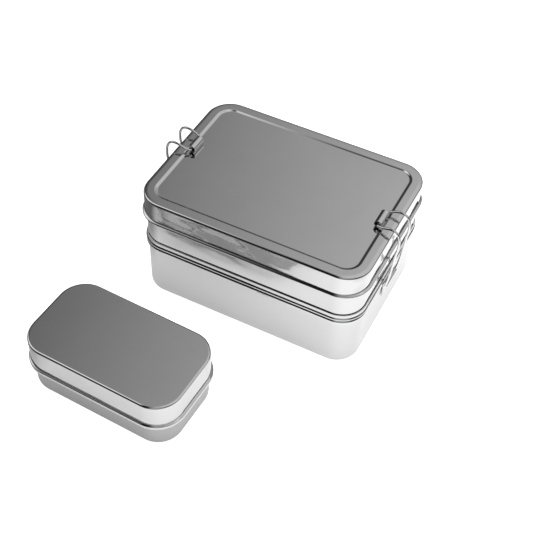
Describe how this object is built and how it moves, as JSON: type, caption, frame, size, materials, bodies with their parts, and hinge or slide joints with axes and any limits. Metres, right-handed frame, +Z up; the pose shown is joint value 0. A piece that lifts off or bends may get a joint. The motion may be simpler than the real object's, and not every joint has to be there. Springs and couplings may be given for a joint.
{
  "type": "bento lunch box",
  "caption": "Stacking rectangular stainless steel lunch box with a deep lid, wire clips on its ends and a small lidded snack box beside it.",
  "frame": {"origin": "middle of the main box's flat underside, on the surface it stands on", "axes": "+Z up; X along the main box's long side, with a clip on each short end; the snack box stands on the -Y side"},
  "size_m": [0.1691, 0.2077, 0.0818],
  "materials": {
    "mirror_steel": "mirror-polished stainless steel with fine wiping scratches",
    "satin_steel": "fine satin stainless steel, faintly drawn along the walls",
    "wire_steel": "bright drawn stainless wire"
  },
  "bodies": {
    "lower_tier": {"lower_tier": "satin_steel", "right_clip_bracket": "satin_steel", "left_clip_bracket": "satin_steel"},
    "upper_tier": {"upper_tier": "mirror_steel", "upper_tier_skirt_ring": "mirror_steel"},
    "lid": {"lid": "mirror_steel"},
    "right_clip": {"right_clip_wire": "wire_steel", "right_clip_grip": "mirror_steel"},
    "left_clip": {"left_clip_wire": "wire_steel", "left_clip_grip": "mirror_steel"},
    "snack_box": {"snack_box": "satin_steel"},
    "snack_lid": {"snack_lid": "mirror_steel"}
  },
  "joints": [
    {"name": "upper_tier_lift", "type": "slide", "parent": "lower_tier", "child": "upper_tier", "axis": [0, 0, 1], "range_m": [0, 0.0035]},
    {"name": "lid_lift", "type": "slide", "parent": "upper_tier", "child": "lid", "axis": [0, 0, 1], "range_m": [0, 0.0156]},
    {"name": "right_clip_swing", "type": "hinge", "parent": "lower_tier", "child": "right_clip", "pos_m": [0.07285, -0.0011, 0.0336], "axis": [0, 1, 0], "range_deg": [0, 130.5]},
    {"name": "left_clip_swing", "type": "hinge", "parent": "lower_tier", "child": "left_clip", "pos_m": [-0.07285, 0.0033, 0.0336], "axis": [0, -1, 0], "range_deg": [0, 130.5]},
    {"name": "snack_lift", "type": "slide", "parent": "lower_tier", "child": "snack_box", "axis": [0, 0, 1], "range_m": [0, 0.06]},
    {"name": "snack_lid_lift", "type": "slide", "parent": "snack_box", "child": "snack_lid", "axis": [0, 0, 1], "range_m": [0, 0.024]}
  ],
  "couplings": [
    {"joint": "upper_tier_lift", "follows": "lid_lift", "ratio": 0.22},
    {"joint": "right_clip_swing", "follows": "lid_lift", "rad_per_m": 145.9},
    {"joint": "left_clip_swing", "follows": "lid_lift", "rad_per_m": 145.9}
  ]
}
